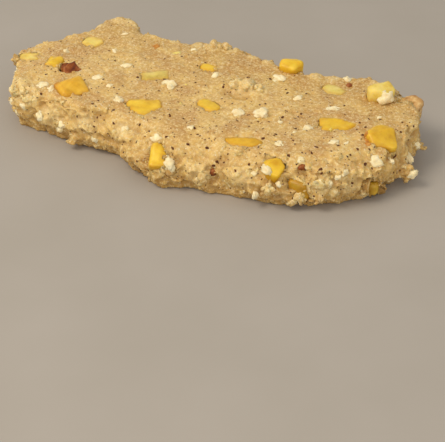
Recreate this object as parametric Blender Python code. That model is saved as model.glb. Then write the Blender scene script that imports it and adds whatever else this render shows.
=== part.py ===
"""A hand-cut granola bar: one slab of pale, crumbly dough with diced yellow fruit and brown nut pieces in it.

Every number in the tables below is in millimetres or degrees. The objects are made in metres, with +Z up. X runs along
the bar and Y across it. The origin of the objects is on the table, under the middle of the bar's box.
"""

import math
import random

import bmesh
import bpy
from mathutils import Matrix, Vector, noise

MM = 0.001

# Driving sizes of the slab
THICKNESS = 11.0
GAP = 0.3
CELLS_ALONG = 54
CELLS_ACROSS = 26
CELLS_UP = 6

# Relief: how far the cut sides and the pressed top wander, and how broad their crags are
SIDE_RELIEF = 1.3
TOP_RELIEF = 0.22
RELIEF_REACH = 3.2
BROAD_CRAG = 6.5
FINE_CRAG = 2.7
SIDE_BULGE = 0.5
BASE_TUCK = 1.1
LOWEST_CRAG = 0.5
SMOOTHING = 0.2

# Where the middle of the bar's box lies in the tables below, so that the origin can be moved there
MIDDLE = (1.8, -0.17)

# The outline, seen from above. Each point is x, y, how far in the top starts to roll over, and how high the cut side is
FRONT_EDGE = [
    (-38.6, -21.2, 2.5, 9.6),
    (-30.0, -20.9, 2.0, 10.0),
    (-21.0, -21.8, 2.0, 10.0),
    (-12.5, -20.5, 3.0, 9.0),
    (-5.0, -23.5, 8.0, 6.5),
    (3.5, -26.5, 10.0, 5.5),
    (13.0, -22.8, 9.0, 6.0),
    (24.0, -21.0, 7.0, 6.8),
    (33.8, -17.0, 5.6, 7.8),
    (41.8, -11.6, 5.8, 8.0),
]
RIGHT_END = [
    (41.8, -11.6, 5.8, 8.0),
    (47.1, -4.6, 6.4, 7.5),
    (48.8, 4.5, 3.5, 8.8),
    (48.3, 14.0, 2.5, 9.6),
    (44.5, 20.5, 2.5, 9.4),
    (37.5, 25.5, 2.5, 9.6),
]
BACK_EDGE = [
    (-37.8, 22.3, 2.5, 10.4),
    (-33.0, 21.8, 2.5, 10.4),
    (-28.5, 19.2, 2.5, 9.8),
    (-16.5, 19.8, 2.0, 9.8),
    (-10.0, 23.0, 2.0, 9.8),
    (-1.0, 23.4, 2.5, 9.6),
    (9.0, 21.0, 2.5, 9.2),
    (19.0, 21.8, 2.0, 9.6),
    (26.0, 24.8, 2.0, 9.8),
    (37.5, 25.5, 2.5, 9.6),
]
LEFT_END = [
    (-38.6, -21.2, 2.5, 9.6),
    (-44.5, -14.0, 2.5, 9.8),
    (-48.9, -4.3, 2.5, 10.0),
    (-45.6, 3.0, 2.0, 10.2),
    (-41.8, 10.5, 2.0, 10.2),
    (-40.6, 17.5, 2.0, 10.4),
    (-37.8, 22.3, 2.5, 10.4),
]

# The ways a piece of fruit was cut, as outlines in a square of side 1
CUTS = {
    "block": [(-0.48, -0.42), (0.46, -0.5), (0.5, 0.44), (-0.5, 0.48)],
    "wedge": [(-0.5, -0.12), (0.02, -0.5), (0.5, -0.3), (0.5, 0.42), (-0.46, 0.34)],
    "shard": [(-0.5, -0.1), (0.1, -0.5), (0.5, 0.1), (0.2, 0.5), (-0.42, 0.4)],
    "sliver": [(-0.5, 0.3), (-0.36, -0.3), (0.2, -0.5), (0.5, 0.02), (0.3, 0.46)],
    "prism": [(-0.5, -0.46), (0.5, -0.5), (0.06, 0.5), (-0.3, 0.46)],
    "kite": [(-0.5, 0.1), (0.02, -0.5), (0.36, -0.32), (0.5, 0.08), (0.44, 0.44), (-0.44, 0.4)],
    "leaf": [(-0.46, -0.5), (0.2, -0.46), (0.5, -0.02), (0.14, 0.36), (-0.5, 0.5)],
    "bean": [(-0.5, 0.16), (-0.28, -0.34), (0.3, -0.5), (0.5, -0.1), (0.12, 0.4), (-0.32, 0.5)],
}

# Diced fruit: x, y, height of its top, length, width, depth, turn, tilt, cut. Turn is about Z, and tilt tips it forward
FRUIT = [
    (-44.6, -7.0, 11.0, 5.0, 4.4, 4.0, 36, 0, "wedge"),
    (-35.6, 6.8, 11.1, 5.8, 5.6, 4.2, 20, 2, "shard"),
    (-37.4, -6.6, 11.6, 3.6, 4.8, 4.6, 12, 4, "block"),
    (-26.4, -14.8, 12.3, 6.8, 6.2, 5.8, 58, 12, "block"),
    (-7.7, -13.0, 11.1, 8.4, 7.8, 4.6, 31, 2, "kite"),
    (4.6, -4.6, 11.1, 6.2, 5.2, 4.2, 24, 0, "bean"),
    (-13.5, 0.8, 11.0, 7.0, 4.0, 3.6, 42, 0, "block"),
    (-4.7, 10.4, 11.1, 4.6, 3.6, 3.4, 31, 0, "bean"),
    (12.9, 18.9, 13.4, 5.8, 4.6, 5.6, 31, 6, "shard"),
    (25.5, 16.4, 11.0, 6.0, 4.6, 3.6, 22, 0, "bean"),
    (36.2, 18.2, 14.0, 5.8, 5.0, 6.8, 50, 8, "wedge"),
    (33.4, 3.2, 11.1, 8.6, 5.2, 4.4, 28, 2, "leaf"),
    (43.9, 3.2, 11.8, 7.6, 7.8, 6.6, 66, 20, "shard"),
    (19.0, -13.8, 10.9, 8.8, 4.0, 4.0, 24, 6, "sliver"),
    (3.0, -22.8, 8.2, 5.0, 6.4, 4.4, 34, 28, "prism"),
    (28.4, -16.8, 9.7, 4.8, 5.0, 4.4, 32, 24, "shard"),
    (33.6, -14.8, 6.6, 5.2, 5.0, 5.0, 35, 0, "wedge"),
    (46.0, -4.4, 4.2, 3.2, 3.0, 2.8, 45, 0, "shard"),
    (-24.0, 18.2, 8.4, 6.2, 5.0, 5.0, -5, 0, "wedge"),
    (2.0, 21.6, 6.8, 5.4, 5.2, 4.4, 10, 0, "block"),
    (28.0, 24.2, 8.4, 5.0, 5.4, 4.6, 10, 0, "shard"),
    (-45.0, 2.4, 7.4, 5.2, 4.6, 4.8, 62, 0, "block"),
]

# Nut pieces, in the same form
NUTS = [
    (-32.6, -7.0, 11.8, 4.4, 4.2, 3.8, 60, 6, "prism"),
    (42.8, 21.4, 10.6, 5.6, 5.0, 5.6, 35, 10, "shard"),
]

# How far the edges of a cut piece, and of the socket it sits in, are softened, as a share of its least size
PIECE_SOFTNESS = 0.14
SOCKET_SOFTNESS = 0.09

# Dough that swells out of the sides and the top, in broad lumps: x, y, z, and their half sizes
SWELLINGS = [
    (-30.0, -20.2, 4.0, 3.2, 1.9, 1.7),
    (13.6, -21.6, 2.6, 2.8, 2.0, 1.8),
    (-35.6, 20.6, 10.0, 3.0, 1.8, 1.5),
    (-8.6, 22.0, 10.2, 3.4, 1.9, 1.3),
    (17.0, 21.0, 5.0, 2.8, 2.0, 2.0),
    (-12.0, 21.0, 3.4, 2.6, 2.0, 1.8),
]

# Knobs of dough that hang out of the sides or lie on the top, in the same form
KNOBS = [
    (-41.2, -18.6, 5.6, 1.9, 1.8, 1.4),
    (7.8, 6.6, 10.9, 3.5, 2.1, 1.1),
    (38.0, -15.4, 2.7, 2.3, 1.4, 1.4),
    (40.6, -11.8, 4.6, 1.7, 1.5, 1.5),
    (49.4, 13.3, 4.4, 1.8, 1.8, 1.4),
    (50.6, 4.1, 3.0, 2.2, 2.2, 2.2),
    (-21.6, -22.0, 2.0, 1.9, 1.3, 1.2),
    (22.0, 22.6, 3.0, 2.2, 1.6, 1.6),
]

# Cream-coloured bits big enough to see from a step away, bedded in the top: x, y and their half sizes
CREAM_BITS = [
    (-24.4, -7.0, 1.8, 1.5),
    (-19.6, -9.0, 1.2, 1.1),
    (-19.8, -13.4, 2.0, 1.0),
    (-14.4, -13.2, 1.1, 1.4),
    (-28.3, 5.6, 1.1, 1.1),
    (-38.6, -0.6, 1.2, 1.2),
    (-8.0, -1.2, 2.0, 2.1),
    (-22.0, 1.0, 1.9, 1.2),
    (-33.4, -16.6, 2.1, 1.6),
    (-30.6, -16.9, 1.5, 1.4),
    (12.0, -4.4, 1.6, 2.0),
    (16.8, -2.4, 2.1, 2.1),
    (6.1, -14.8, 1.0, 1.1),
    (12.4, 14.4, 2.0, 1.8),
    (-1.4, 8.2, 1.6, 1.2),
    (26.4, -10.8, 1.8, 1.5),
    (28.4, -2.0, 1.1, 1.5),
    (38.4, -3.2, 1.0, 1.0),
    (40.2, 10.6, 1.5, 1.0),
    (20.4, 8.4, 1.5, 1.2),
    (-31.0, 14.4, 1.6, 1.4),
    (-12.0, 15.4, 1.5, 1.2),
]

BIT_HEIGHT = 1.1

# Crumbs that stand out of the cut sides, scattered by a seeded rule
SIDE_CRUMBS = 84
CRUMB_SIZES = (1.3, 2.5)
CRUMBS_BEDDED = 0.985
CRUMB_SEED = 19

# The seed of the crags. Another seed gives another bar of the same batch
CRAG_SEED = 54

# Colours of the materials, linear, with a roughness
DOUGH_FINISH = ("baked_dough", (0.62, 0.38, 0.15), 0.85)
FRUIT_FINISH = ("candied_fruit", (0.80, 0.46, 0.035), 0.38)
NUT_FINISH = ("roasted_nut", (0.30, 0.10, 0.025), 0.55)


def clear_scene():
    for old in list(bpy.data.objects):
        bpy.data.objects.remove(old, do_unlink=True)


def make_material(finish):
    name, colour, roughness = finish
    material = bpy.data.materials.new(name)
    material.use_nodes = True
    shader = material.node_tree.nodes["Principled BSDF"]
    shader.inputs["Base Color"].default_value = (*colour, 1.0)
    shader.inputs["Roughness"].default_value = roughness
    material.diffuse_color = (*colour, 1.0)
    return material


def make_object(name, bm, finish):
    """Turn a mesh made in millimetres into an object in metres round the origin, with a material of its own."""
    bmesh.ops.translate(bm, vec=(-MIDDLE[0], -MIDDLE[1], 0.0), verts=bm.verts)
    bmesh.ops.scale(bm, vec=(MM, MM, MM), verts=bm.verts)
    bmesh.ops.recalc_face_normals(bm, faces=bm.faces)
    mesh = bpy.data.meshes.new(name)
    bm.to_mesh(mesh)
    bm.free()
    made = bpy.data.objects.new(name, mesh)
    if finish:
        mesh.materials.append(make_material(finish))
    bpy.context.scene.collection.objects.link(made)
    return made


def curve_at(points, share):
    """A point of the smooth curve through the given points, at a share of the way along it."""
    last = len(points) - 1
    place = min(max(share, 0.0), 1.0) * last
    start = min(int(place), last - 1)
    part = place - start
    a, b, c, d = (Vector(points[min(max(start + step, 0), last)]) for step in (-1, 0, 1, 2))
    return 0.5 * (2 * b + (c - a) * part + (2 * a - 5 * b + 4 * c - d) * part**2 + (3 * b - a - 3 * c + d) * part**3)


def inside_outline(along, across):
    """Blend the four edges into a point of the slab, so that a square grid takes the outline's shape."""
    front, back = curve_at(FRONT_EDGE, along), curve_at(BACK_EDGE, along)
    left, right = curve_at(LEFT_END, across), curve_at(RIGHT_END, across)
    corners = (
        (1 - along) * (1 - across) * curve_at(FRONT_EDGE, 0)
        + along * (1 - across) * curve_at(FRONT_EDGE, 1)
        + (1 - along) * across * curve_at(BACK_EDGE, 0)
        + along * across * curve_at(BACK_EDGE, 1)
    )
    return (1 - across) * front + across * back + (1 - along) * left + along * right - corners


def outline_loop(steps=40):
    """Points once round the outline, counter-clockwise from above."""
    shares = [step / steps for step in range(steps)]
    loop = [curve_at(FRONT_EDGE, share) for share in shares]
    loop += [curve_at(RIGHT_END, share) for share in shares]
    loop += [curve_at(BACK_EDGE, 1 - share) for share in shares]
    loop += [curve_at(LEFT_END, 1 - share) for share in shares]
    return loop


def nearest_on(loop, x, y):
    """The nearest point of the outline, how far away it is, and which way is out there."""
    index = min(range(len(loop)), key=lambda i: (loop[i][0] - x) ** 2 + (loop[i][1] - y) ** 2)
    before, here, after = loop[index - 1], loop[index], loop[(index + 1) % len(loop)]
    along = Vector((after[0] - before[0], after[1] - before[1]))
    if along.length < 1e-9:
        along = Vector((1.0, 0.0))
    along.normalize()
    outward = Vector((along.y, -along.x, 0.0))
    return here, math.hypot(here[0] - x, here[1] - y), outward


def crag(place):
    """Relief at a point, as a push in three directions: broad crags with finer ones on them."""
    broad = noise.noise_vector(place / BROAD_CRAG + Vector((3.1, 7.7, 1.9)))
    fine = noise.noise_vector(place / FINE_CRAG + Vector((11.3, 2.9, 5.1)))
    return 0.8 * broad + 0.9 * fine


def side_crumbs(draw):
    """Crumbs along the cut sides, one after another round the outline at drawn heights."""
    loop = outline_loop()
    crumbs = []
    for number in range(SIDE_CRUMBS):
        share = (number + draw.uniform(0.1, 0.9)) / SIDE_CRUMBS
        spot = loop[int(share * len(loop))]
        half = [draw.uniform(*CRUMB_SIZES) for _ in range(3)]
        height = draw.uniform(1.5, spot[3] - 1.0)
        crumbs.append((spot[0] * CRUMBS_BEDDED, spot[1] * CRUMBS_BEDDED, height, *half))
    return crumbs


def swell(place, lumps):
    """How far to move a point that lies inside lumps, to take it out to the skin of the one it is deepest in."""
    furthest = Vector()
    for x, y, z, *half in lumps:
        inside = Vector((value / size for value, size in zip(place - Vector((x, y, z)), half)))
        if 0.05 < inside.length < 1:
            outward = inside.normalized() - inside
            move = Vector((value * size for value, size in zip(outward, half)))
            furthest = max(furthest, move, key=lambda found: found.length)
    return furthest


def slab_mesh(lumps):
    """The dough: a closed grid box, bent to the outline, with rolled top edges, craggy sides and lumps."""
    bm = bmesh.new()
    bmesh.ops.create_cube(bm, size=2.0)
    for axis, cells in enumerate((CELLS_ALONG, CELLS_ACROSS, CELLS_UP)):
        parallel = [e for e in bm.edges if abs(e.verts[0].co[axis] - e.verts[1].co[axis]) > 0.5]
        bmesh.ops.subdivide_edges(bm, edges=parallel, cuts=cells - 1, use_grid_fill=True)
    loop = outline_loop()
    for vert in bm.verts:
        along, across, up = ((value + 1) / 2 for value in vert.co)
        spot = inside_outline(along, across)
        on_side = max(abs(vert.co.x), abs(vert.co.y)) > 0.999
        edge, distance, outward = nearest_on(loop, spot[0], spot[1])
        roll, rim = (spot[2], spot[3]) if on_side else (edge[2], edge[3])
        left_to_roll = 0.0 if on_side else distance
        drop = max(0.0, 1 - left_to_roll / roll) ** 2
        top = THICKNESS - (THICKNESS - rim) * drop
        place = Vector((spot[0], spot[1], top * up))
        if on_side:
            place += outward * (SIDE_BULGE * math.sin(math.pi * up) - BASE_TUCK * (1 - up) ** 4)
        near_side = math.exp(-((left_to_roll / RELIEF_REACH) ** 2))
        push = crag(place) * (TOP_RELIEF + (SIDE_RELIEF - TOP_RELIEF) * near_side)
        if up < 0.001:
            vert.co = place + Vector((push.x, push.y, 0.0)) * 0.6 * near_side
            continue
        vert.co = place + push
        vert.co += swell(vert.co, lumps)
        vert.co.z = max(vert.co.z, LOWEST_CRAG)
    above = [vert for vert in bm.verts if vert.co.z > LOWEST_CRAG / 2]
    bmesh.ops.smooth_vert(bm, verts=above, factor=SMOOTHING, use_axis_x=True, use_axis_y=True, use_axis_z=True)
    bottom = [face for face in bm.faces if all(vert.co.z < 1e-6 for vert in face.verts)]
    bmesh.ops.dissolve_faces(bm, faces=bottom, use_verts=True)
    return bm


def pebble_mesh(centre, half_sizes, draw, fineness, unevenness=0.16):
    """An uneven bit: a ball of few faces whose corners are drawn in and out."""
    bm = bmesh.new()
    bmesh.ops.create_icosphere(bm, subdivisions=fineness, radius=1.0)
    turn = Matrix.Rotation(draw.uniform(0, math.tau), 3, "Z")
    for vert in bm.verts:
        uneven = vert.co * (1 + draw.uniform(-unevenness, unevenness))
        stretched = Vector(value * half for value, half in zip(turn @ uneven, half_sizes))
        vert.co = stretched + Vector(centre)
    return bm


def cut_piece_mesh(row, softness=PIECE_SOFTNESS, rounds=2, clearance=0.0):
    """A piece cut from fruit or nut: its outline, drawn down with a slight taper and softened edges."""
    x, y, top, length, width, depth, turn, tilt, cut = row
    softening = softness * min(length, width, depth)
    bm = bmesh.new()
    lid = bm.faces.new([bm.verts.new((a * length, b * width, depth / 2)) for a, b in CUTS[cut]])
    drawn = bmesh.ops.extrude_face_region(bm, geom=[lid])
    taper = 0.86
    for vert in (item for item in drawn["geom"] if isinstance(item, bmesh.types.BMVert)):
        vert.co = Vector((vert.co.x * taper, vert.co.y * taper, -depth / 2))
    bmesh.ops.recalc_face_normals(bm, faces=bm.faces)
    bmesh.ops.bevel(bm, geom=bm.edges[:], offset=softening, segments=rounds, profile=0.6, affect="EDGES")
    bmesh.ops.recalc_face_normals(bm, faces=bm.faces)
    if clearance:
        bm.normal_update()
        pushed = [vert.co + vert.normal * vert.calc_shell_factor() * clearance for vert in bm.verts]
        for vert, place in zip(bm.verts, pushed):
            vert.co = place
    lean = Matrix.Rotation(math.radians(tilt), 4, "X")
    facing = Matrix.Rotation(math.radians(turn), 4, "Z")
    bm.transform(Matrix.Translation((x, y, top - depth / 2)) @ facing @ lean)
    return bm


def bake_boolean(target, operation, group):
    """Join the objects of a group to the target, or cut them out of it, and remove them."""
    joint = target.modifiers.new(operation, "BOOLEAN")
    joint.operation = operation
    joint.operand_type = "COLLECTION"
    joint.collection = group
    joint.solver = "EXACT"
    bpy.context.view_layer.update()
    depsgraph = bpy.context.evaluated_depsgraph_get()
    result = bpy.data.meshes.new_from_object(target.evaluated_get(depsgraph))
    target.modifiers.remove(joint)
    material = target.data.materials[0]
    target.data = result
    result.materials.clear()
    result.materials.append(material)
    for used in list(group.objects):
        bpy.data.objects.remove(used, do_unlink=True)
    bpy.data.collections.remove(group)


def group_of(name, meshes):
    """Put helper solids into a collection of their own, for one Boolean."""
    group = bpy.data.collections.new(name)
    bpy.context.scene.collection.children.link(group)
    for number, bm in enumerate(meshes):
        helper = make_object(f"{name}_{number:02d}", bm, None)
        helper.hide_render = True
        helper.display_type = "WIRE"
        bpy.context.scene.collection.objects.unlink(helper)
        group.objects.link(helper)
    return group


def keep_main_body(target):
    """Drop loose scraps and tidy the mesh, so that the dough is one closed body."""
    bm = bmesh.new()
    bm.from_mesh(target.data)
    left = set(bm.faces)
    bodies = []
    while left:
        body, front = set(), [left.pop()]
        while front:
            face = front.pop()
            body.add(face)
            beside = {other for edge in face.edges for other in edge.link_faces} & left
            left -= beside
            front.extend(beside)
        bodies.append(body)
    main = max(bodies, key=len)
    scraps = [face for body in bodies if body is not main for face in body]
    bmesh.ops.delete(bm, geom=scraps, context="FACES")
    bm.to_mesh(target.data)
    bm.free()


def make_bar():
    noise.seed_set(CRAG_SEED)
    draw = random.Random(CRUMB_SEED)
    dough = make_object("dough_bar", slab_mesh(SWELLINGS + side_crumbs(draw)), DOUGH_FINISH)
    bits = [pebble_mesh((x, y, THICKNESS), (a, b, BIT_HEIGHT), draw, 1) for x, y, a, b in CREAM_BITS]
    bits += [pebble_mesh(row[:3], row[3:], draw, 2) for row in KNOBS]
    bake_boolean(dough, "UNION", group_of("bit", bits))
    sockets = [cut_piece_mesh(row, SOCKET_SOFTNESS, 1, GAP) for row in FRUIT + NUTS]
    bake_boolean(dough, "DIFFERENCE", group_of("socket", sockets))
    keep_main_body(dough)
    for name, rows, finish in (("fruit", FRUIT, FRUIT_FINISH), ("nut", NUTS, NUT_FINISH)):
        for number, row in enumerate(rows, start=1):
            make_object(f"{name}_{number:02d}", cut_piece_mesh(row), finish)


clear_scene()
make_bar()
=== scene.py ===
# %% [markdown]
# # A granola bar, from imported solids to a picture
# The bar is one hand-cut slab of pale, crumbly dough. Its top was pressed flat and its sides were cut or broken, so
# the top is fine and even while the sides are all crumbs and crevices. Diced candied fruit, nut pieces,
# cream-coloured bits and dark specks of spice sit in it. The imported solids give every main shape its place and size.
# This lesson gives them the crumb, the bits and the finishes of the real thing.

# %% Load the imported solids
import math
import random

import bmesh
import bpy
import numpy as np
from mathutils import Matrix, Vector, noise
from mathutils.bvhtree import BVHTree


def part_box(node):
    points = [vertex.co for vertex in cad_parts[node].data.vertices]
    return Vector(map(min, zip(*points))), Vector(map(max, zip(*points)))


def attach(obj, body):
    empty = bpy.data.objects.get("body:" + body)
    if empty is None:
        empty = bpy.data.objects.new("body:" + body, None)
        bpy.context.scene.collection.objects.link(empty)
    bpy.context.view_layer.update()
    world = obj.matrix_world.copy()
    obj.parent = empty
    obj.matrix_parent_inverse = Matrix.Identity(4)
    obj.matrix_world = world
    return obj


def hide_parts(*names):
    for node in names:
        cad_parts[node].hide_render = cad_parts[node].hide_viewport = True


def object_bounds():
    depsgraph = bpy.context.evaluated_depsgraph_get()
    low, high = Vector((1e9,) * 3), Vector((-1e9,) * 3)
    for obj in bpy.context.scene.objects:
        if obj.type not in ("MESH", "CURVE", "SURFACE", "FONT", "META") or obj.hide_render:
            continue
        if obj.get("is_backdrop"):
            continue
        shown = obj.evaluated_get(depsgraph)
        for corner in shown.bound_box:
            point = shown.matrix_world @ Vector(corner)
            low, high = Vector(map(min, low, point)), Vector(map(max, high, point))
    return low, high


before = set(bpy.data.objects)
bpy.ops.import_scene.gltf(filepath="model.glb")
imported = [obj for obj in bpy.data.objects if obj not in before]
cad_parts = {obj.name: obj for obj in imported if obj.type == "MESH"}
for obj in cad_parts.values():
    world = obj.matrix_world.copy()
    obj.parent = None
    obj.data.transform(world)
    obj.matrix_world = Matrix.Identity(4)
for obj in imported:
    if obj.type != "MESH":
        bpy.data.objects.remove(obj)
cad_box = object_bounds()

MM = 0.001
# The crumbs' noise starts from this number, so every run makes the same bar
NOISE_START = 54
noise.seed_set(NOISE_START)
FRUIT_NODES = sorted(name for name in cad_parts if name.startswith("fruit_"))
NUT_NODES = sorted(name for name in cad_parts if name.startswith("nut_"))
print("solids:", len(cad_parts), "of which fruit", len(FRUIT_NODES), "and nut", len(NUT_NODES))

# %% [markdown]
# ## Tools for the finishes
# A colour is easiest to judge as the hex value that a screen shows, but a shader wants linear light, so one function
# turns one into the other. Another adds any node with its settings and its links, which keeps each material below as
# short as a recipe. Patterns are measured in millimetres: the coordinates are scaled by a thousand, so a pattern
# scale of 1 / 0.4 gives grains 0.4 mm across.

# %% Colour and node helpers
def linear(hex_colour):
    """The linear colour, with alpha, of an sRGB hex value."""
    parts = [int(hex_colour[i : i + 2], 16) / 255 for i in (1, 3, 5)]
    return (*(c / 12.92 if c <= 0.04045 else ((c + 0.055) / 1.055) ** 2.4 for c in parts), 1.0)


def feed(tree, node, inputs):
    """Give each named input of a node its value or its link."""
    for name, value in inputs.items():
        if isinstance(value, bpy.types.NodeSocket):
            tree.links.new(value, node.inputs[name])
        else:
            node.inputs[name].default_value = value


def add(tree, kind, inputs, stops=(), out=0, **settings):
    """Add a node with its settings, its ramp's stops, and a value or a link for each input; give back one output."""
    made = tree.nodes.new(kind)
    for name, value in settings.items():
        setattr(made, name, value)
    for number, (place, hex_colour) in enumerate(stops):
        stop = made.color_ramp.elements[number] if number < 2 else made.color_ramp.elements.new(place)
        stop.position, stop.color = place, linear(hex_colour)
    feed(tree, made, inputs)
    return made.outputs[out]


def new_finish(name):
    """A new material: the material, its node tree, its surface shader, and coordinates that count in millimetres."""
    material = bpy.data.materials.new(name)
    material.use_nodes = True
    tree = material.node_tree
    place = add(tree, "ShaderNodeTexCoord", {}, out="Object")
    millimetres = add(tree, "ShaderNodeVectorMath", {0: place, 1: (1000.0, 1000.0, 1000.0)}, operation="MULTIPLY")
    return material, tree, tree.nodes["Principled BSDF"], millimetres


# One colour laid over another uses these sockets of the Mix node, whose other sockets are for numbers and vectors
HOW_THICK, BELOW, ABOVE = 0, 6, 7
COLOURS = {"out": 2, "data_type": "RGBA"}

print("the dough's mid colour in linear light:", [round(c, 3) for c in linear("#cea466")])

# %% [markdown]
# ## The dough's finish
# Baked shortcrust-like dough is matt and slightly see-through, because light enters the fat between the grains of
# flour. The pressed top has a thin tan skin, and where the skin is rubbed or broken the paler, yellower crumb shows.
# The back edge and the foot are painted darker and browner as painted shade, since the light falls off towards
# the back and little reaches the foot. Broad blotches, a fine mottle and pale sugar grains, partly a painted
# glint, make up the rest. A photographed texture would be the other way, but it would fix the pattern to one bar
# and to one light.

# %% Baked dough
# A blotch is as wide as the press of a fingertip, and the mottle is as wide as a crumb. Grains of flour and sugar are
# 0.1 to 0.4 mm, too fine to show where a pixel covers a quarter of a millimetre, so they are drawn coarser.
BLOTCH_MM = 7.0
MOTTLE_MM = 1.6
GRAIN_MM = 0.6
SUGAR_MM = 0.85


def baked_dough(name, skin, crumb, pale, shade, crease):
    """Matt crumbly dough: its tan skin, inside, palest and darker grains, and the painted shade of its creases."""
    material, tree, shader, mm = new_finish(name)
    blotch = add(tree, "ShaderNodeTexNoise", {"Vector": mm, "Scale": 1 / BLOTCH_MM, "Detail": 4.0, "Roughness": 0.6})
    mottle = add(tree, "ShaderNodeTexNoise", {"Vector": mm, "Scale": 1 / MOTTLE_MM, "Detail": 5.0, "Roughness": 0.75})
    grain = add(tree, "ShaderNodeTexNoise", {"Vector": mm, "Scale": 1 / GRAIN_MM, "Detail": 3.0, "Roughness": 0.7})
    facing = add(tree, "ShaderNodeNewGeometry", {}, out="Normal")
    up = add(tree, "ShaderNodeSeparateXYZ", {0: facing}, out="Z")
    level = add(tree, "ShaderNodeMapRange", {"Value": up, "From Min": 0.70, "From Max": 0.98})
    whole = add(tree, "ShaderNodeMapRange", {"Value": blotch, "From Min": 0.36, "From Max": 0.60})
    skinned = add(tree, "ShaderNodeMath", {0: level, 1: whole}, operation="MULTIPLY")
    torn = add(tree, "ShaderNodeAttribute", {}, out="Fac", attribute_name="torn")
    skinned = add(tree, "ShaderNodeMath", {0: skinned, 1: torn}, operation="SUBTRACT", use_clamp=True)
    toned = add(tree, "ShaderNodeMix", {HOW_THICK: skinned, BELOW: linear(crumb), ABOVE: linear(skin)}, **COLOURS)
    deeper = add(
        tree, "ShaderNodeMapRange",
        {"Value": mottle, "From Min": 0.34, "From Max": 0.52, "To Min": 0.85, "To Max": 0.0},
    )
    # Painted shade: darker and browner towards the back edge, where the light falls off, and towards the foot
    across = add(tree, "ShaderNodeSeparateXYZ", {0: mm}, out="Y")
    painted_shade_back_and_foot = add(tree, "ShaderNodeMapRange", {"Value": across, "From Min": 0.0, "From Max": 24.0, "To Max": 0.5})
    above = add(tree, "ShaderNodeSeparateXYZ", {0: mm}, out="Z")
    painted_shade_at_foot = add(tree, "ShaderNodeMapRange", {"Value": above, "From Min": 7.5, "From Max": 1.0, "To Max": 0.6})
    painted_shade_back_and_foot = add(tree, "ShaderNodeMath", {0: painted_shade_back_and_foot, 1: painted_shade_at_foot}, operation="MAXIMUM")
    paler = add(tree, "ShaderNodeMapRange", {"Value": grain, "From Min": 0.48, "From Max": 0.65, "To Max": 0.7})
    # Painted shade: the creases between crumbs, the hollows and the dents of the underside are painted darker
    painted_hollow_shade = add(tree, "ShaderNodeAttribute", {}, out="Fac", attribute_name="crease")
    painted_hollow_shade = add(tree, "ShaderNodeMath", {0: painted_hollow_shade, 1: 0.6}, operation="MULTIPLY")
    fresh = add(tree, "ShaderNodeMath", {0: torn, 1: 0.35}, operation="MULTIPLY")
    # Pale grains of sugar, partly their own colour and partly a painted glint
    sugar = add(tree, "ShaderNodeTexVoronoi", {"Vector": mm, "Scale": 1 / SUGAR_MM}, out="Distance")
    sugar_and_glint = add(tree, "ShaderNodeMapRange", {"Value": sugar, "From Min": 0.26, "From Max": 0.16})
    here = add(tree, "ShaderNodeMapRange", {"Value": mottle, "From Min": 0.46, "From Max": 0.6, "To Max": 0.8})
    sugar_and_glint = add(tree, "ShaderNodeMath", {0: sugar_and_glint, 1: here}, operation="MULTIPLY")
    layers = (
        (deeper, shade), (painted_shade_back_and_foot, "#ac7f36"), (paler, pale), (painted_hollow_shade, crease), (fresh, pale), (sugar_and_glint, "#f7ebc8"),
    )
    for how_thick, colour in layers:
        toned = add(tree, "ShaderNodeMix", {HOW_THICK: how_thick, BELOW: toned, ABOVE: linear(colour)}, **COLOURS)
    relief = add(tree, "ShaderNodeMath", {0: grain, 1: mottle}, operation="ADD")
    relief = add(tree, "ShaderNodeMath", {0: relief, 1: sugar_and_glint}, operation="ADD")
    bump = add(tree, "ShaderNodeBump", {"Height": relief, "Strength": 0.72, "Distance": 0.00025})
    sheen = add(
        tree, "ShaderNodeMapRange",
        {"Value": grain, "From Min": 0.40, "From Max": 0.62, "To Min": 0.8, "To Max": 0.3},
    )
    feed(tree, shader, {
        "Base Color": toned, "Normal": bump, "Roughness": sheen, "Specular IOR Level": 0.4,
        "Subsurface Weight": 0.5, "Subsurface Radius": (1.0, 0.86, 0.6), "Subsurface Scale": 0.0006,
    })
    return material


# Shortcrust, pressed and baked: a matt tan skin over a paler, yellower crumb, which looks dry and soft
DOUGH = baked_dough(
    "baked_dough", skin="#bf9355", crumb="#e0bc71", pale="#f0dba3", shade="#ba8f4d", crease="#a77b3c",
)
# The same dough where it broke after baking: paler all over, which sets it off from the skin
FRESH_DOUGH = baked_dough(
    "freshly_broken_dough", skin="#dcb878", crumb="#e8cc88", pale="#f8e8bc", shade="#cda564", crease="#b98a48",
)
print("blotches of", BLOTCH_MM, "mm, a mottle of", MOTTLE_MM, "mm and grains of", GRAIN_MM, "mm")

# %% [markdown]
# ## The fruit's finish
# Candied fruit is full of sugar syrup, so light goes well into it and comes out saturated, and its cut faces have a
# satin gloss. Some dice are golden, some paler where flour clings to them, some amber, and two are nearly olive. One
# recipe with different colours gives them all, so they still look like pieces of one fruit. Where a die touches the
# dough its colour deepens towards amber as painted shade at the join, and each die carries how near the dough it lies
# as a value at its points.

# %% Candied fruit
# The soft patches of the pulp are 2 to 3 mm wide. Its fibres are a third as fine as drawn here, and wouldn't show.
PULP_MM = 2.6
FIBRE_MM = 0.7


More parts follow.
